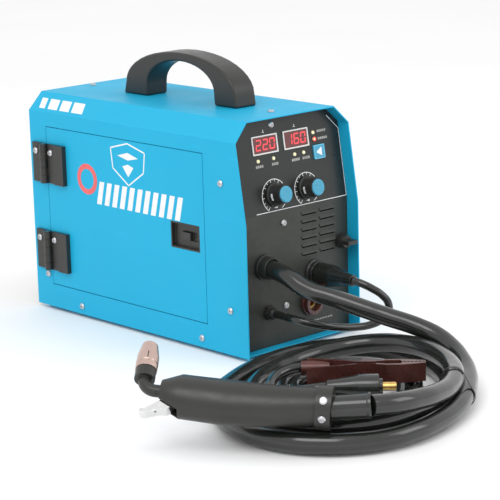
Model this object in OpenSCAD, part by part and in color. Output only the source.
// Portable inverter MIG welder with its torch, polarity lead and work lead.
// Millimetres. The origin is the centre of the base pan on the floor, +Z is up,
// the control panel faces -Y and the wire bay door is on the -X side.

/* [Case] */
// Width of the cover across its sides
case_w = 180; // [176:2:190]
// Length of the cover from front rim to rear rim
case_l = 388; // [384:2:400]
// Height of the cover above its lower edge
case_h = 266; // [262:2:272]
// Height of the cover's lower edge above the floor
lift = 4; // [3:1:6]
// Size of the bevels along the top edges
bevel = 21; // [16:1:24]
// Thickness of the sheet metal
sheet = 1.5; // [1.2:0.1:1.6]

/* [Front] */
// How far the front panel sits behind the cover's rim
recess = 17; // [15:1:18]
// How far the top of the cover's rim leans back
lean = 17; // [15:1:19]
// Height where the cover's rim starts to lean back
rim_bend = 157; // [155:1:159]
// Thickness of the moulded panels
panel_t = 2.5; // [2:0.5:3]
// Radius of the bore in a panel socket
socket_r = 4.55; // [4.5:0.05:4.6]

/* [Door] */
// Gap round the door
door_gap = 0.8; // [0.8:0.1:1.5]
// Distance of the hinge axis from the cover's side
hinge_out = 5; // [5:0.5:6]
// Width of the latch
latch_w = 50; // [46:1:52]
// Height of the latch
latch_h = 31; // [28:1:34]

/* [Torch and leads] */
// Diameter of the torch lead
torch_lead_d = 21; // [18:1:22]
// Diameter of the polarity lead
polarity_lead_d = 9; // [8:0.5:10]
// Diameter of the work lead
work_lead_d = 11; // [9:0.5:11]
// Length of the torch handle
grip_l = 153; // [150:1:156]

/* [Hidden] */
$fn = 48;
fit = 0.05; // radial clearance of a turning pin in its bore
air = 0.3; // gap between neighbouring pieces
screw_r = 2;
side_x = case_w / 2;
front_y = -case_l / 2;
rear_y = case_l / 2;
top_z = lift + case_h;
tray_z = lift + sheet; // top of the tray's rim
panel_y = front_y + recess;
panel_bend = rim_bend + 4;
slope = lean / (top_z - rim_bend);
slope_a = atan(slope);
rear_panel_y = rear_y - 5;
flange_l = 28; // depth of the panels' side flanges
overlay_t = 0.6;

// door opening, hinge axis and latch
door_y0 = -126;
door_y1 = 162;
door_z0 = 33;
door_z1 = 232;
hinge_x = -side_x - hinge_out;
hinge_y = door_y1;
hinge_h = 49;
hinge_zs = [77, 186.5];
hinge_leaf_t = 3.5;
latch_y = -92;
latch_z = 131;

// places on the lower front panel, [x, z]
torch_exit = [-48, 101];
polarity_exit = [-42, 46.5];
open_socket_at = [25, 45.5];
plug_socket_at = [32, 80];
pointer_at = [76, 110];
// places on the sloping front panel, [x, distance up the slope]
knob_xs = [-26.5, 24.5];
knob_v = 20;
display_x0 = [-51.3, -2.5];
display_v0 = 67;
display_w = 39.5;
display_h = 21.5;
button_at = [51, 58];
button_w = 17.5;
button_h = 16.6;
lamps_at = [[-44.4, 60.2], [-20.4, 60.5], [12.8, 60.2], [27.2, 60.3], [45.6, 80.8], [46, 73.2]];
lamp_r = 2.2;
slope_screw_at = [-17.9, 98.5];

// wire feeder and spool, on the wall between the bays
wall_x = -10;
wire_x = torch_exit[0];
wire_z = torch_exit[1];
roll_r = 15.9;
roll_w = 10;
feed_y = -100;
roll_z = wire_z - roll_r - 0.6;
press_r = 10;
press_z = wire_z + press_r + 0.6;
arm_pivot_y = feed_y - 28;
arm_pivot_z = wire_z + 12;
spool_y = 46;
spool_z = 152;
spool_r = 98;
hub_r = 25;

// cooling fan
fan_x = 38;
fan_z = 165;
fan_size = 80;
fan_bore = 37;

// power switch on the rear panel
switch_x = -46;
switch_z = 205;

// torch: rear end of the handle, heading and roll of its bend
torch_at = [-251.7, -464.4, 46];
torch_yaw = 128;
torch_pitch = -4.5;
torch_roll = 150;
collar_l = 15;
collar_r = 21.8;
// where the strain sleeve leaves the collar, and its heading
sleeve_at = [-243.1, -475.4, 44.9];
sleeve_yaw = 312;
sleeve_rise = 4;
sleeve_l = 39;
sleeve_r = 12.3;
neck_r = 6.3;
neck_bend = 14;
neck_turn = 86;
ring_l = 12;

// work lead coil and clamp
coil_at = [-110, -376];
coil_mid_r = 62;
coil_wide = 3 * work_lead_d;
coil_high = 21;
clamp_at = [-106, -391, 34.2];
clamp_yaw = -45;
work_plug_at = [-134, -441, 34.5];
work_plug_yaw = 135;

// cable tie: its place, and the strands it holds, [across, height]
tie_at = [-64, -474];
tie_yaw = 304;
tie_strands = [[11.3, 15.8], [-9.8, 12.2], [0.6, 34.5]];

// route of the torch lead: out of the gland, two turns on the floor, up to the torch
torch_route = [
  [-48, -188, 101], [-47.5, -213, 96.5], [-43.1, -240.9, 84.9], [-31.2, -269.1, 77.3],
  [-15.5, -296.9, 68.1], [1.3, -323.3, 58.4], [16, -348.4, 50.2], [23.9, -372.8, 42],
  [22.3, -396.6, 33], [11.5, -420.4, 25.4], [-7.1, -444.3, 20.3], [-32.9, -467, 17.5],
  [-63.9, -487.5, 15.4], [-98.7, -503.7, 13.4], [-135.7, -514, 13.4], [-172.3, -517.4, 13.3],
  [-206, -511, 12.6], [-235.2, -494.9, 12], [-258.4, -471.9, 11.7], [-274.1, -443.7, 11.6],
  [-280.3, -411.6, 11.7], [-276.6, -377.4, 12.1], [-263.8, -343, 13.1],
  [-243.2, -310.7, 13.7], [-215.5, -282.6, 13], [-179.9, -261.6, 11.7],
  [-140.5, -245.8, 11.7], [-100.1, -236.4, 11.8], [-61.6, -235.2, 12], [-28.1, -243.3, 12.4],
  [-2.1, -260.4, 12.7], [14.6, -284.9, 12.8], [21.8, -314.2, 12.6], [20.5, -345.6, 12.2],
  [11.8, -376.9, 11.8], [-3, -405.9, 11.6], [-23.4, -431.3, 11.6], [-48.6, -452.9, 11.6],
  [-77.8, -471, 11.8], [-110, -484.8, 14.8], [-142.1, -494.8, 21.8], [-172.3, -499.3, 25.6],
  [-198.6, -493.3, 24.2], [-218.8, -474.2, 20.2], [-233.7, -446.1, 15.8],
  [-241.2, -413.6, 12.3], [-238.9, -379.7, 11.6], [-226.2, -346.7, 11.8],
  [-204.2, -316.8, 11.9], [-174.8, -291.7, 11.9], [-140.3, -273.5, 12.4],
  [-103.7, -263.8, 14], [-68.2, -263.8, 16.8], [-37.2, -273.9, 20.7], [-13.6, -293.1, 24.9],
  [0.7, -319.3, 28.7], [5, -349.8, 31.2], [0.4, -382, 32.4], [-12.3, -414.1, 33],
  [-32.1, -444.7, 33.8], [-58.6, -471.3, 34.4], [-90.5, -491.8, 35], [-125, -505.8, 38.3],
  [-158.9, -513.7, 42.7], [-190, -514, 46], [-217.1, -504.3, 47.6]];
// route of the polarity lead, from its gland to the plug
polarity_route = [
  [-42, -189, 46.5], [-42.5, -207, 46.5], [-41, -223, 45.5], [-34, -236, 43],
  [-20, -245, 38.7], [-1, -250, 33.8], [20, -255, 30.6], [37.5, -261.5, 31],
  [50, -267.5, 36], [55.6, -272, 45], [54.5, -273, 55], [49, -269, 64.5], [41.5, -261, 72.2],
  [35.2, -251, 77.6], [32, -240, 80]];

// ---- frames of reference ----

// local X to the right, local Y up, local Z out of the lower front panel
module on_front(at = [0, 0]) {
  translate([at[0], panel_y, at[1]]) rotate([90, 0, 0]) children();
}

// the same on the sloping part: local Y runs up the slope from the bend
module on_slope(at = [0, 0]) {
  translate([0, panel_y, panel_bend]) rotate([90 - slope_a, 0, 0])
    translate([at[0], at[1], 0]) children();
}

// local Z out of the rear panel
module on_rear(at = [0, 0]) {
  translate([at[0], rear_panel_y, at[1]]) rotate([-90, 0, 0]) children();
}

// local Z along +X
module along_x(at) {
  translate(at) rotate([0, 90, 0]) children();
}

// local X forward along the torch, local Y towards the side its neck bends to
module on_torch(x = 0, y = 0) {
  translate(torch_at) rotate([torch_roll, torch_pitch, torch_yaw])
    translate([x, y, 0]) children();
}

// local X from the clamp's handles to its teeth, the clamp lying on its side
module on_clamp() {
  translate(clamp_at) rotate([90, 0, clamp_yaw]) children();
}

// ---- shapes that repeat ----

// bevelled outline of the case, inset from its outside, extruded from y0 to y1
module case_prism(inset, y0, y1, z0) {
  b = bevel - inset * (2 - sqrt(2));
  x = side_x - inset;
  z = top_z - inset;
  translate([0, y1, 0]) rotate([90, 0, 0]) linear_extrude(y1 - y0)
    polygon([[-x, z0], [x, z0], [x, z - b], [x - b, z], [b - x, z], [-x, z - b]]);
}

// slab that follows the front panel's bent face, from depth d0 to depth d1 behind it
module front_slab(d0, d1) {
  top_y = panel_y + (top_z + 1 - panel_bend) * slope;
  rotate([90, 0, 90]) translate([0, 0, -side_x]) linear_extrude(case_w)
    polygon([[panel_y + d0, 0], [panel_y + d0, panel_bend], [top_y + d0, top_z + 1],
      [top_y + d1, top_z + 1], [panel_y + d1, panel_bend], [panel_y + d1, 0]]);
}

module tube_z(r_out, r_in, h) {
  difference() {
    cylinder(r = r_out, h = h);
    translate([0, 0, -1]) cylinder(r = r_in, h = h + 2);
  }
}

// round bar of a turned outline, [radius, height] pairs
module turned(points) {
  rotate_extrude() polygon(concat([[0, points[0][1]]], points,
    [[0, points[len(points) - 1][1]]]));
}

// pan head screw along local Z, seated at z = 0, with a cross recess
module screw(grip = 8) {
  difference() {
    union() {
      cylinder(r = 4, h = 1);
      translate([0, 0, 1]) cylinder(r1 = 4, r2 = 2.6, h = 1.4);
      translate([0, 0, -grip]) cylinder(r = screw_r, h = grip + 0.5);
    }
    for (a = [0, 90])
      rotate([0, 0, a]) translate([-2.2, -0.4, 1.2]) cube([4.4, 0.8, 2]);
  }
}

module screw_hole() {
  translate([0, 0, -12]) cylinder(r = screw_r + 0.15, h = 14);
}

// children at every case screw, local Z outwards
module at_case_screws() {
  for (side = [-1, 1], at = [[-155, 201], [-166, 56], [105, 14], [-116, 15], [170, 45]])
    translate([side * side_x, at[0], at[1]]) rotate([0, side * 90, 0]) children();
  for (at = [[-5, -150], [0, 178]])
    translate([at[0], at[1], top_z]) children();
}

// children at every front panel screw, local Z outwards
module at_panel_screws() {
  for (at = [[-15.4, 146.5], [-14.2, 49.4]]) on_front(at) children();
  on_slope(slope_screw_at) children();
}

// children at every hinge screw; leaf 0 is on the case and leaf 1 on the door
module at_hinge_screws(leaf) {
  for (z = hinge_zs)
    translate([-side_x - hinge_leaf_t, leaf == 0 ? 179 : 150, z + 14])
      rotate([0, -90, 0]) children();
}

// children at the two screws under each foot of the handle, local Z down
module at_handle_screws() {
  for (y = [-94, -78, 70, 86])
    translate([0, y, top_z - sheet]) rotate([180, 0, 0]) children();
}

function unit(v) = v / norm(v);

// tube of radius r swept along a route; ref is never parallel to the route
module swept(route, r, sides, ref) {
  n = len(route);
  function ahead(i) = unit(route[min(i + 1, n - 1)] - route[max(i - 1, 0)]);
  function across(i) = unit(cross(ahead(i), ref));
  function ring(i) = [for (j = [0:sides - 1])
    route[i] + r * (cos(360 * j / sides) * across(i)
      + sin(360 * j / sides) * cross(ahead(i), across(i)))];
  points = [for (i = [0:n - 1]) each ring(i)];
  skin = [for (i = [0:n - 2], j = [0:sides - 1]) let (k = (j + 1) % sides)
    each [[i * sides + j, (i + 1) * sides + j, (i + 1) * sides + k],
      [i * sides + j, (i + 1) * sides + k, i * sides + k]]];
  caps = [[for (j = [0:sides - 1]) j], [for (j = [0:sides - 1]) n * sides - 1 - j]];
  polyhedron(points, concat(skin, caps), convexity = 10);
}

// upper half of an ellipse about [cy, cz]
function arch(cy, cz, ry, rz) = [for (a = [0:9:180]) [cy + ry * cos(a), cz + rz * sin(a)]];

// ---- case ----

module cover() {
  color("deepskyblue") difference() {
    case_prism(0, front_y, rear_y, lift);
    case_prism(sheet, front_y - 1, rear_y + 1, lift - 1);
    // the rim leans back above the bend
    translate([-side_x - 1, 0, 0]) rotate([90, 0, 90]) linear_extrude(case_w + 2)
      polygon([[front_y - 1, rim_bend], [front_y, rim_bend], [front_y + lean, top_z],
        [front_y + lean, top_z + 1], [front_y - 1, top_z + 1]]);
    translate([-side_x - 1, door_y0, door_z0])
      cube([sheet + 2, door_y1 - door_y0, door_z1 - door_z0]);
    at_case_screws() screw_hole();
    at_handle_screws() screw_hole();
    at_hinge_screws(0) screw_hole();
    // louvre slots on the electronics side
    for (y = [60, 110], i = [0:7])
      translate([side_x - sheet - 1, y, 150 + i * 9]) cube([sheet + 2, 38, 4]);
  }
}

module base_tray() {
  pan_x = side_x - 18;
  pan_y = case_l / 2 - 22;
  rim_x = side_x - sheet - air;
  rim_y = case_l / 2 - 6;
  color("dodgerblue") difference() {
    union() {
      translate([-pan_x, -pan_y, 0]) cube([2 * pan_x, 2 * pan_y, tray_z]);
      translate([-rim_x, -rim_y, lift]) cube([2 * rim_x, 2 * rim_y, sheet]);
      for (x = [-rim_x, rim_x - sheet])
        translate([x, -145, lift]) cube([sheet, 302, 22]);
    }
    translate([-pan_x + sheet, -pan_y + sheet, sheet])
      cube([2 * (pan_x - sheet), 2 * (pan_y - sheet), tray_z]);
    at_case_screws() screw_hole();
    for (y = [-60:30:120])
      translate([2, y, -1]) cube([56, 5, tray_z]);
  }
}

module front_panel() {
  clear = sheet + air;
  z0 = tray_z + air;
  color("#2c2d2b") difference() {
    union() {
      intersection() {
        case_prism(clear, front_y, 0, z0);
        front_slab(0, panel_t);
      }
      intersection() {
        difference() {
          case_prism(clear, front_y, 0, z0);
          case_prism(clear + 2, front_y - 1, 1, z0 + 2);
        }
        front_slab(0, flange_l);
      }
      // drip lips over the vent slots
      for (x = [13, 42], i = [0:5])
        on_front([x, 102 + i * 9.5]) vent_lip();
    }
    for (x = [13, 42], i = [0:5])
      on_front([x, 102 + i * 9.5]) translate([1, 0, -panel_t - 1]) cube([23, 3, panel_t + 2]);
    on_front(torch_exit) translate([0, 0, -10]) cylinder(r = 12.2, h = 12);
    on_front(polarity_exit) translate([0, 0, -10]) cylinder(r = 6.2, h = 12);
    for (at = [open_socket_at, plug_socket_at])
      on_front(at) translate([0, 0, -10]) cylinder(r = 11.2, h = 12);
    on_front(pointer_at) translate([0, 0, -10]) cylinder(r = 3 + fit, h = 12);
    slope_holes(0);
    at_panel_screws() screw_hole();
    at_case_screws() screw_hole();
  }
}

// one sloping lip, 25 long, over a slot
module vent_lip() {
  rotate([90, 0, 90]) linear_extrude(25) polygon([[3, 0], [5.2, 0], [2.6, 1.8], [1.9, 1.8]]);
}

// holes through the sloping panel; wider makes them larger for the overlay
module slope_holes(wider) {
  for (x = display_x0)
    on_slope([x + 2 - wider, display_v0 + 2 - wider]) translate([0, 0, -8])
      cube([display_w - 4 + 2 * wider, display_h - 4 + 2 * wider, 12]);
  for (x = knob_xs) on_slope([x, knob_v]) translate([0, 0, -8]) cylinder(r = 4, h = 12);
  for (at = lamps_at) on_slope(at) translate([0, 0, -8]) cylinder(r = lamp_r + 0.1, h = 12);
  on_slope(button_at - [button_w / 2 + air, button_h / 2 + air]) translate([0, 0, -8])
    cube([button_w + 2 * air, button_h + 2 * air, 12]);
}

module control_overlay() {
  color("#1c1d1d") difference() {
    on_slope() translate([0, 0, 0.02]) linear_extrude(overlay_t - 0.02)
      polygon([[-87.5, 1], [87.5, 1], [87.5, 88], [68, 106], [-68, 106], [-87.5, 88]]);
    slope_holes(0);
    on_slope(slope_screw_at) translate([0, 0, -4]) cylinder(r = 4.3, h = 8);
  }
}

module display_windows() {
  for (x = display_x0)
    on_slope([x, display_v0]) {
      color("white") difference() {
        union() {
          translate([0, 0, overlay_t]) cube([display_w, display_h, 1.2]);
          translate([2.1, 2.1, -4]) cube([display_w - 4.2, display_h - 4.2, 5]);
        }
        translate([1.75, 1.6, 1]) cube([display_w - 3.5, display_h - 3.2, 2]);
      }
    }
}

module indicator_lamps() {
  color("khaki") for (at = lamps_at)
    on_slope(at) translate([0, 0, -5]) turned([[lamp_r, 0], [lamp_r, 6], [1.6, 6.8]]);
}

module mode_button() {
  color("deepskyblue") on_slope(button_at) translate([-button_w / 2, -button_h / 2, -4])
    cube([button_w, button_h, 6.4]);
}

module knob(x) {
  color("#20201f") on_slope([x, knob_v]) difference() {
    union() {
      translate([0, 0, 1.4]) turned([[13.5, 0], [13.5, 2], [12.4, 2.6], [10.4, 18.5]]);
      translate([0, 0, -12]) cylinder(r = 3, h = 14);
      rotate([0, 0, 215]) translate([10.4, -0.8, 4]) rotate([0, -7.2, 0]) cube([2.4, 1.6, 13]);
    }
    translate([0, 0, 18.6]) cylinder(r = 9.6, h = 3);
  }
}

module knob_cap(x) {
  color("deepskyblue") on_slope([x, knob_v]) translate([0, 0, 18.6])
    turned([[9.5, 0], [9.5, 2], [8.6, 2.8]]);
}

module control_board() {
  color("seagreen") difference() {
    union() {
      on_slope([-78, 8]) translate([0, 0, -16]) cube([156, 84, 1.6]);
      for (at = [[-70, 14], [70, 14], [-60, 88], [60, 88]])
        on_slope(at) translate([0, 0, -15]) cylinder(r = 3, h = 12.8);
      for (x = knob_xs) on_slope([x, knob_v]) translate([0, 0, -14.4]) cylinder(r = 8, h = 8);
      for (x = display_x0) on_slope([x + 4, display_v0 + 3]) translate([0, 0, -14.4])
        cube([31, 15, 8]);
    }
    for (x = knob_xs) on_slope([x, knob_v]) translate([0, 0, -12.4]) cylinder(r = 3 + fit, h = 8);
  }
}

module pointer_knob() {
  color("#1a1a1a") on_front(pointer_at) {
    translate([0, 0, 0.4]) turned([[8.5, 0], [8.5, 6], [7, 11]]);
    translate([-7.5, -2.2, 8]) cube([15, 4.4, 13]);
    translate([0, 0, -8]) cylinder(r = 3, h = 10);
  }
}

module torch_gland() {
  color("#222222") on_front(torch_exit) difference() {
    union() {
      cylinder(r = 14.5, h = 4);
      translate([0, 0, 4]) turned([[13, 0], [13, 7], [12, 11]]);
      translate([0, 0, -16]) cylinder(r = 12, h = 17);
    }
    translate([0, 0, 11]) cylinder(r = torch_lead_d / 2 + 0.5, h = 10);
    translate([0, 0, -20]) cylinder(r = 3, h = 40);
  }
}

module polarity_gland() {
  color("#222222") on_front(polarity_exit) {
    cylinder(r = 9, h = 5, $fn = 6);
    translate([0, 0, 5]) turned([[7, 0], [7, 4], [5.5, 7]]);
    translate([0, 0, -12]) cylinder(r = 6, h = 13);
  }
}

module panel_sockets() {
  color("#3a2320") for (at = [open_socket_at, plug_socket_at])
    on_front(at) difference() {
      union() {
        cylinder(r = 15.5, h = 3);
        cylinder(r = 14, h = 9);
        translate([0, 0, -18]) cylinder(r = 11, h = 19);
      }
      translate([0, 0, 1]) cylinder(r = 9, h = 11);
      translate([0, 0, -20]) cylinder(r = 7.05, h = 30);
    }
}

module socket_inserts() {
  color("gold") for (at = [open_socket_at, plug_socket_at])
    on_front(at) difference() {
      translate([0, 0, -24]) cylinder(r = 7, h = 26);
      translate([0, 0, -16]) cylinder(r = socket_r, h = 24);
    }
}

module polarity_plug() {
  color("#262626") on_front(plug_socket_at) translate([0, 0, 6.2]) rotate_extrude()
    plug_outline(polarity_lead_d / 2, 56.8);
}

// half outline of a plug: nose, grip and tapered tail
module plug_outline(r_cable, l) {
  polygon([[4.55, 0], [8.4, 0], [8.4, 3.2], [13, 4], [13, 24], [11.4, 30],
    [r_cable + 3.2, l - 10], [r_cable + 2, l], [0, l], [0, 12], [4.55, 12]]);
}

module plug_pin() {
  color("gold") turned([[3.6, 0], [4.5, 1.4], [4.5, 26]]);
}

module plug_pins() {
  on_front(plug_socket_at) translate([0, 0, -8]) plug_pin();
  on_work_plug() translate([0, 0, -14]) plug_pin();
}

// ---- rear ----

module rear_panel() {
  clear = sheet + air;
  z0 = tray_z + air;
  color("#2c2d2b") difference() {
    union() {
      case_prism(clear, rear_panel_y - panel_t, rear_panel_y, z0);
      difference() {
        case_prism(clear, rear_panel_y - flange_l, rear_panel_y, z0);
        case_prism(clear + 2, rear_panel_y - flange_l - 1, rear_panel_y + 1, z0 + 2);
      }
    }
    // slots of the fan grille
    for (i = [-4:4]) {
      half = sqrt(36 * 36 - pow(i * 8, 2));
      on_rear([fan_x, fan_z]) translate([i * 8 - 2.4, -half, -panel_t - 1])
        cube([4.8, 2 * half, panel_t + 2]);
    }
    for (i = [0:5])
      on_rear([-76, 90 + i * 9]) translate([0, 0, -panel_t - 1]) cube([46, 4, panel_t + 2]);
    on_rear([switch_x, switch_z]) translate([-11.2, -14.2, -10]) cube([22.4, 28.4, 12]);
    on_rear([48, 48]) translate([0, 0, -10]) cylinder(r = 10.2, h = 12);
    on_rear([-50, 52]) translate([0, 0, -10]) cylinder(r = 6.2, h = 12);
    at_case_screws() screw_hole();
    at_hinge_screws(0) screw_hole();
  }
}

module power_switch() {
  color("#151515") on_rear([switch_x, switch_z]) difference() {
    union() {
      translate([-13, -16, 0]) cube([26, 32, 2]);
      translate([-11, -14, -16]) cube([22, 28, 17]);
    }
    translate([-8.4, -11.6, -12]) cube([16.8, 23.2, 20]);
    rotate([0, 90, 0]) translate([0, 0, -10.3]) cylinder(r = 1.5 + fit, h = 20.6);
  }
}

module power_rocker() {
  color("crimson") on_rear([switch_x, switch_z]) rotate([0, 90, 0]) {
    translate([0, 0, -8]) linear_extrude(16) polygon([[9, 0], [6, -7], [0, -9.5],
      [-4.4, -10.2], [-1.4, 0], [-2.4, 10.4], [0, 10.2], [6, 7]]);
    translate([0, 0, -10.1]) cylinder(r = 1.5, h = 20.2);
  }
}

module mains_gland() {
  color("#222222") on_rear([48, 48]) {
    cylinder(r = 15, h = 7, $fn = 6);
    translate([0, 0, 7]) turned([[11, 0], [11, 6], [8, 12]]);
    translate([0, 0, -12]) cylinder(r = 10, h = 13);
  }
}

module gas_inlet() {
  color("gold") on_rear([-50, 52]) {
    cylinder(r = 9, h = 6, $fn = 6);
    cylinder(r = 4, h = 30);
    translate([0, 0, -12]) cylinder(r = 6, h = 13);
  }
}

module fan_frame() {
  half = fan_size / 2;
  color("#1d1d1d") translate([fan_x, rear_panel_y - panel_t - 0.2, fan_z]) rotate([90, 0, 0])
    difference() {
      union() {
        difference() {
          translate([-half, -half, 0]) cube([fan_size, fan_size, 25]);
          translate([0, 0, -1]) cylinder(r = fan_bore, h = 27);
        }
        translate([0, 0, 20]) cylinder(r = 16, h = 5);
        for (a = [45, 135])
          rotate([0, 0, a]) translate([-fan_bore - 1, -2, 21]) cube([2 * fan_bore + 2, 4, 4]);
      }
      translate([0, 0, 8]) cylinder(r = 1.5 + fit, h = 14);
      for (x = [-1, 1], y = [-1, 1])
        translate([x * 35.75, y * 35.75, -1]) cylinder(r = 2.15, h = 27);
    }
}

module fan_rotor() {
  color("#333333") translate([fan_x, rear_panel_y - panel_t - 0.2, fan_z]) rotate([90, 0, 0]) {
    translate([0, 0, 3]) cylinder(r = 15, h = 15);
    translate([0, 0, 10]) cylinder(r = 1.5, h = 11);
    for (i = [0:6])
      rotate([0, 0, i * 360 / 7]) translate([13, 0, 10]) rotate([40, 0, 0])
        translate([0, -8, -0.7]) cube([21.5, 16, 1.4]);
  }
}

// ---- door ----

module side_door() {
  g = door_gap;
  x0 = -side_x;
  color("deepskyblue") difference() {
    union() {
      translate([x0, door_y0 + g, door_z0 + g])
        cube([sheet, door_y1 - door_y0 - 2 * g, door_z1 - door_z0 - 2 * g]);
      // folded edges behind the top, bottom and front
      for (z = [door_z0 + g, door_z1 - g - sheet])
        translate([x0, door_y0 + g, z]) cube([8, door_y1 - door_y0 - 24, sheet]);
      translate([x0, door_y0 + g, door_z0 + g]) cube([8, sheet, door_z1 - door_z0 - 2 * g]);
    }
    translate([x0 - 1, latch_y - latch_w / 2, latch_z - latch_h / 2])
      cube([sheet + 2, latch_w, latch_h]);
    translate([x0 + 6.4, door_y0 - 1, latch_z - 6.4]) cube([4, 5, 12.8]);
    at_hinge_screws(1) screw_hole();
  }
}

// knuckles of one leaf of a hinge; the case leaf has the end ones and the middle one
module knuckles(leaf) {
  step = hinge_h / 5;
  for (z = hinge_zs, i = [0:4])
    if (i % 2 == leaf)
      translate([hinge_x, hinge_y, z - hinge_h / 2 + i * step + 0.15])
        children();
}

module hinge_case_leaves() {
  step = hinge_h / 5 - 0.3;
  color("#262626") difference() {
    union() {
      for (z = hinge_zs)
        translate([-side_x - hinge_leaf_t, hinge_y + 6, z - hinge_h / 2])
          cube([hinge_leaf_t, 18, hinge_h]);
      knuckles(0) {
        cylinder(r = 5, h = step);
        translate([1, 0, 0]) cube([4, 8, step]);
      }
    }
    knuckles(0) translate([0, 0, -1]) cylinder(r = 1.5, h = step + 2);
    at_hinge_screws(0) screw_hole();
  }
}

module hinge_door_leaves() {
  step = hinge_h / 5 - 0.3;
  color("#262626") difference() {
    union() {
      for (z = hinge_zs) {
        translate([-side_x - hinge_leaf_t, 124, z - hinge_h / 2])
          cube([hinge_leaf_t, 32, hinge_h]);
        translate([-side_x - 6, 124, z - hinge_h / 2]) cube([6, 18, hinge_h]);
      }
      knuckles(1) {
        cylinder(r = 5, h = step);
        translate([1.5, -8, 0]) cube([3.5, 8, step]);
      }
    }
    knuckles(1) translate([0, 0, -1]) cylinder(r = 1.5 + fit, h = step + 2);
    at_hinge_screws(1) screw_hole();
  }
}

module hinge_pins() {
  color("silver") for (z = hinge_zs)
    translate([hinge_x, hinge_y, z - hinge_h / 2]) cylinder(r = 1.5, h = hinge_h);
}

// shallow black dish set into the door
module door_latch() {
  y0 = latch_y - latch_w / 2;
  z0 = latch_z - latch_h / 2;
  color("#1d1e1d") difference() {
    translate([-side_x, y0, z0]) cube([11, latch_w, latch_h]);
    translate([-side_x - 1, y0 + 2, z0 + 2]) cube([6, latch_w - 4, latch_h - 4]);
    // track of the slider and its finger slot
    translate([-side_x + 6.5, y0 - 1, latch_z - 6.3]) cube([3, latch_w - 8, 12.6]);
    translate([-side_x + 4, y0 + 8, latch_z - 5]) cube([4, 26, 10]);
  }
}

module latch_slider() {
  y0 = latch_y - latch_w / 2;
  color("#2b2c2a") union() {
    translate([-side_x + 6.8, door_y0 + 3, latch_z - 6]) cube([2.4, 40, 12]);
    translate([-side_x + 1.5, y0 + 18, latch_z - 4.6]) cube([6, 15, 9.2]);
  }
}

// ---- handle and screws ----

module handle() {
  z = top_z + 15;
  color("#222222") difference() {
    translate([-16.5, 0, 0]) rotate([90, 0, 90]) linear_extrude(33) difference() {
      polygon(concat([[98, top_z]], arch(-4, z, 98, 42.5), [[-104.5, top_z]]));
      polygon(concat([[54, top_z - 1]], arch(-6, z, 59, 32), [[-66, top_z - 1]]));
    }
    at_handle_screws() translate([0, 0, -16]) cylinder(r = screw_r, h = 17);
  }
}

module screws() {
  color("silver") {
    at_case_screws() screw();
    at_panel_screws() screw();
    at_hinge_screws(0) screw();
    at_handle_screws() screw(12);
    at_collar_screws() screw(3);
  }
}

module door_screws() {
  color("silver") at_hinge_screws(1) screw();
}

// ---- inside ----

module partition() {
  color("gainsboro") difference() {
    union() {
      translate([wall_x, -145, sheet]) cube([sheet, 303, 258]);
      translate([wall_x - 18, -145, sheet]) cube([18, 303, sheet]);
    }
    along_x([wall_x - 1, feed_y, roll_z]) cylinder(r = 8, h = 4);
    along_x([wall_x - 1, spool_y, spool_z]) cylinder(r = 6.2, h = 4);
    translate([wall_x - 1, -30, 20]) cube([4, 24, 16]);
  }
}

module main_board() {
  z = tray_z + 12;
  color("seagreen") {
    translate([-4, -60, z]) cube([88, 205, 1.6]);
    for (x = [2, 64], y = [-56, 138])
      translate([x, y, sheet]) cylinder(r = 4, h = z - sheet);
  }
  color("#30343c") for (y = [70, 102, 134])
    translate([14, y - 4, z + 1.6]) cylinder(r = 12.5, h = 46);
  color("#6b4a2a") translate([2, -52, z + 1.6]) cube([60, 48, 42]);
  color("#b07a2c") translate([6, 2, z + 1.6]) cube([52, 30, 36]);
}

module heat_sink() {
  z = tray_z + 13.6;
  color("silver") {
    translate([34, 44, z]) cube([46, 96, 6]);
    for (i = [0:8])
      translate([34 + i * 5.5, 44, z + 5]) cube([2, 96, 40]);
  }
}

module feed_motor() {
  color("#3a3c3e") {
    along_x([wall_x + sheet, feed_y, roll_z]) {
      translate([-22, -22, 0]) cube([44, 44, 22]);
      translate([0, 0, 22]) cylinder(r = 19, h = 52);
    }
    along_x([wire_x - 8, feed_y, roll_z]) cylinder(r = 5, h = wall_x - wire_x + 10);
  }
}

module feed_plate() {
  x0 = -38;
  color("#8d9196") difference() {
    union() {
      translate([x0, feed_y - 36, roll_z - 20]) cube([wall_x - x0, 72, 32]);
      // arm pivot
      translate([x0, feed_y - 36, roll_z]) cube([wall_x - x0, 16, arm_pivot_z - roll_z + 8]);
      along_x([wire_x - 2, arm_pivot_y, arm_pivot_z]) cylinder(r = 4, h = 20);
      // wire guides at each end
      for (y = [feed_y - 34, feed_y + 22])
        translate([wire_x - 4, y, wire_z - 12]) cube([x0 - wire_x + 6, 10, 15]);
    }
    along_x([x0 - 1, feed_y, roll_z]) cylinder(r = 6, h = 40);
    translate([wire_x, feed_y - 40, wire_z]) rotate([-90, 0, 0]) cylinder(r = 1.2, h = 80);
  }
}

module drive_roll() {
  color("silver") along_x([wire_x - roll_w / 2, feed_y, roll_z])
    tube_z(roll_r, 5 + fit, roll_w);
}

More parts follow.
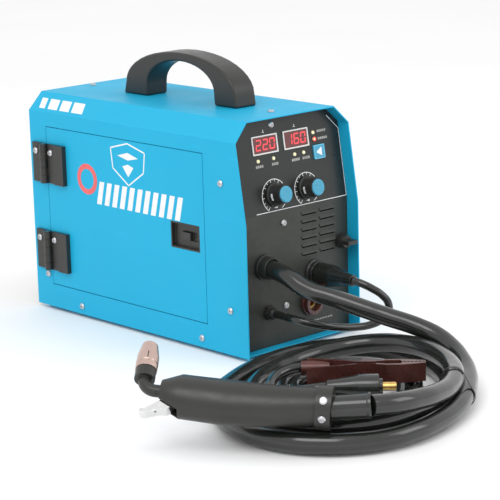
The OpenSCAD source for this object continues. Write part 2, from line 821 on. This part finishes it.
module pressure_arm() {
  x1 = -38 - air;
  t = 3.6;
  color("#202124") difference() {
    union() {
      translate([x1 - t, 0, 0]) rotate([90, 0, 90]) linear_extrude(t) polygon([
        [arm_pivot_y - 6, arm_pivot_z - 5], [arm_pivot_y + 4, arm_pivot_z - 8],
        [feed_y + 34, wire_z + 12], [feed_y + 34, wire_z + 26],
        [arm_pivot_y - 4, arm_pivot_z + 8], [arm_pivot_y - 7, arm_pivot_z + 4]]);
      along_x([wire_x - 7, feed_y, press_z]) cylinder(r = 3, h = x1 - wire_x + 6);
      // boss for the tension screw
      translate([wire_x - 4, feed_y + 20, wire_z + 14]) cube([x1 - wire_x + 4, 14, 12]);
    }
    along_x([x1 - t - 1, arm_pivot_y, arm_pivot_z]) cylinder(r = 4 + fit, h = t + 2);
    translate([wire_x + 3, feed_y + 27, wire_z + 8]) cylinder(r = 3 + fit, h = 30);
  }
}

module pressure_roll() {
  color("silver") along_x([wire_x - roll_w / 2, feed_y, press_z])
    tube_z(press_r, 3 + fit, roll_w - 1);
}

module tension_knob() {
  color("#c22a22") translate([wire_x + 3, feed_y + 27, wire_z]) {
    translate([0, 0, 15]) cylinder(r = 3, h = 14);
    translate([0, 0, 26.4]) turned([[8, 0], [9, 2], [9, 16], [7, 19]]);
  }
}

module spool_hub() {
  color("#3b3b3b") along_x([-84, spool_y, spool_z]) {
    cylinder(r = 31, h = 4);
    translate([0, 0, 4]) cylinder(r = hub_r, h = 68);
    translate([0, 0, 60]) cylinder(r = 6, h = 84 + wall_x - 60 + sheet);
  }
}

module wire_spool() {
  color("#d8d2c4") along_x([-79, spool_y, spool_z]) difference() {
    union() {
      cylinder(r = spool_r, h = 3, $fn = 96);
      cylinder(r = 78, h = 52, $fn = 96);
      translate([0, 0, 52]) cylinder(r = spool_r, h = 3, $fn = 96);
    }
    translate([0, 0, -1]) cylinder(r = hub_r + 0.08, h = 60);
  }
}

// ---- torch ----

// oval slice of the handle, high towards the bend and wide across
module grip_slice(x, high, wide, shift) {
  translate([x, shift, 0]) rotate([0, 90, 0]) scale([wide, high, 1])
    cylinder(r = 1, h = 0.2, $fn = 32);
}

module torch_handle() {
  // distance along the handle, half height, half width, shift towards the bend
  slices = [[0, 19.5, 18, 0], [42, 22, 19.3, -4.5], [88, 24, 20.3, -6], [133, 23.5, 20, -4],
    [grip_l - 0.2, 14, 13, -2.5]];
  color("#2a2a2b") on_torch() difference() {
    for (i = [0:len(slices) - 2])
      hull() for (s = [slices[i], slices[i + 1]]) grip_slice(s[0], s[1], s[2], s[3]);
    translate([grip_l - 20, -40, -6]) cube([24, 32.5, 12]);
    translate([grip_l - 9, -12, -10]) cylinder(r = 1.5 + fit, h = 20);
  }
}

module torch_trigger() {
  color("silver") on_torch(grip_l - 9, -12) difference() {
    union() {
      translate([0, 0, -5]) linear_extrude(10) polygon([[-6, 2.4], [-7, -8], [-1, -14],
        [8, -15], [20, -21], [25, -20], [25.5, -16.5], [21, -15.5], [13, -8], [6, -2], [3, 2.4]]);
      translate([0, 0, -9.5]) cylinder(r = 1.5, h = 19);
    }
    translate([10, -2, -1.5]) rotate([90, 0, 0]) cylinder(r = 1, h = 16);
  }
}

module torch_neck() {
  color("#262626") {
    on_torch(grip_l) rotate([0, 90, 0]) cylinder(r = neck_r, h = 6);
    on_torch(grip_l + 6, neck_bend) rotate([0, 0, -90]) rotate_extrude(angle = neck_turn)
      translate([neck_bend, 0]) circle(r = neck_r);
    on_neck_end() cylinder(r = 10.4, h = ring_l);
  }
}

// local Z out of the neck's end, from the back of the insulator ring
module on_neck_end() {
  on_torch(grip_l + 6 + neck_bend * sin(neck_turn), neck_bend * (1 - cos(neck_turn)))
    rotate([0, 0, neck_turn]) rotate([0, 90, 0]) children();
}

module nozzle() {
  color("#b98f7c") on_neck_end() translate([0, 0, ring_l]) rotate_extrude()
    polygon([[5.6, 0], [11, 0], [11.2, 6], [10.7, 6.4], [10.7, 7.6], [11.2, 8], [11, 18],
      [8, 34], [6.8, 34], [8.6, 18], [8.6, 5], [5.6, 3]]);
}

module contact_tip() {
  color("#b5713f") on_neck_end() translate([0, 0, ring_l]) difference() {
    turned([[5.5, 0], [5.5, 14], [3.5, 16], [3.5, 29], [2.2, 32]]);
    translate([0, 0, 18]) cylinder(r = 0.6, h = 16);
  }
}

// children at the two screws of the collar, local Z outwards
module at_collar_screws() {
  for (a = [-115, -165])
    on_torch(-collar_l / 2) rotate([a, 0, 0]) translate([0, collar_r - 0.6, 0])
      rotate([-90, 0, 0]) children();
}

module torch_collar() {
  color("#232323") difference() {
    on_torch(-collar_l) rotate([0, 90, 0]) cylinder(r = collar_r, h = collar_l);
    at_collar_screws() {
      cylinder(r = 4.3, h = 4);
      translate([0, 0, -3]) cylinder(r = screw_r + 0.15, h = 4);
    }
  }
}

module torch_sleeve() {
  color("#2e2e2e") translate(sleeve_at) rotate([0, 90 - sleeve_rise, sleeve_yaw])
    turned([[sleeve_r, 0], [sleeve_r, sleeve_l - 4], [sleeve_r + 0.8, sleeve_l - 3],
      [sleeve_r + 0.8, sleeve_l]]);
}

module torch_lead() {
  color("#2b2b2b") swept(torch_route, torch_lead_d / 2, 12, [0, 0, 1]);
}

// band round the three strands of the torch lead
module cable_tie() {
  color("#181818") translate([tie_at[0], tie_at[1], 0]) rotate([90, 0, tie_yaw])
    linear_extrude(4, center = true) difference() {
      hull() for (at = tie_strands) translate(at) circle(r = torch_lead_d / 2 + 1.6);
      hull() for (at = tie_strands) translate(at) circle(r = torch_lead_d / 2 + 0.8);
    }
}

module polarity_lead() {
  color("#2b2b2b") swept(polarity_route, polarity_lead_d / 2, 10, [0.8, 0.6, 0]);
}

// ---- work lead ----

// side outline of one jaw: handle, bend over the pivot and toothed nose
module jaw_outline() {
  polygon([[-62, 21], [-60, 17], [-22, 7], [-6, 2.5], [6, 2.5], [22, 7], [36, 6.5],
    for (i = [0:5]) each [[38 + i * 4, 0.8], [40 + i * 4, 2.4]],
    [62, 0.8], [62, 5], [52, 8], [36, 11], [20, 10.5], [5, 6], [-8, 6.5], [-22, 11]]);
}

module across(y0, y1) {
  translate([0, y1, 0]) rotate([90, 0, 0]) linear_extrude(y1 - y0) children();
}

module clamp_upper_jaw() {
  color("#a33028") on_clamp() difference() {
    union() {
      across(-10, 10) jaw_outline();
      for (y = [-12.4, 9.9])
        across(y, y + 2.5) polygon([[-10, 6], [-5, -4], [5, -4], [10, 6]]);
    }
    across(-20, 20) circle(r = 2.5 + fit);
  }
}

module clamp_lower_jaw() {
  color("#8f2b26") on_clamp() {
    across(-9.6, 9.6) mirror([0, 1]) jaw_outline();
    across(-6, 6) polygon([[-6, -4], [-3, 1], [3, 1], [6, -4]]);
    across(-12.4, 12.4) circle(r = 2.5);
    // tube that holds the lead in the handle
    translate([-68, 0, -15]) rotate([0, 90, 0]) tube_z(8, work_lead_d / 2 + 0.2, 30);
  }
}

module work_lead() {
  color("#2b2b2b") translate([coil_at[0], coil_at[1], 0.2]) rotate_extrude($fn = 72)
    translate([coil_mid_r - coil_wide / 2, 0]) square([coil_wide, coil_high]);
}

module on_work_plug() {
  translate(work_plug_at) rotate([0, 90, work_plug_yaw]) children();
}

module work_plug() {
  color("#262626") on_work_plug() rotate_extrude() plug_outline(work_lead_d / 2, 56.8);
}

cover();
base_tray();
front_panel();
control_overlay();
display_windows();
indicator_lamps();
mode_button();
knob(knob_xs[0]);  // left_knob
knob_cap(knob_xs[0]);  // left_knob_cap
knob(knob_xs[1]);  // right_knob
knob_cap(knob_xs[1]);  // right_knob_cap
control_board();
pointer_knob();
torch_gland();
polarity_gland();
panel_sockets();
socket_inserts();
polarity_plug();
plug_pins();
polarity_lead();
rear_panel();
power_switch();
power_rocker();
mains_gland();
gas_inlet();
fan_frame();
fan_rotor();
side_door();
hinge_case_leaves();
hinge_door_leaves();
hinge_pins();
door_screws();
door_latch();
latch_slider();
handle();
screws();
partition();
main_board();
heat_sink();
feed_motor();
feed_plate();
drive_roll();
pressure_arm();
pressure_roll();
tension_knob();
spool_hub();
wire_spool();
torch_handle();
torch_trigger();
torch_neck();
nozzle();
contact_tip();
torch_collar();
torch_sleeve();
torch_lead();
cable_tie();
clamp_lower_jaw();
clamp_upper_jaw();
work_lead();
work_plug();
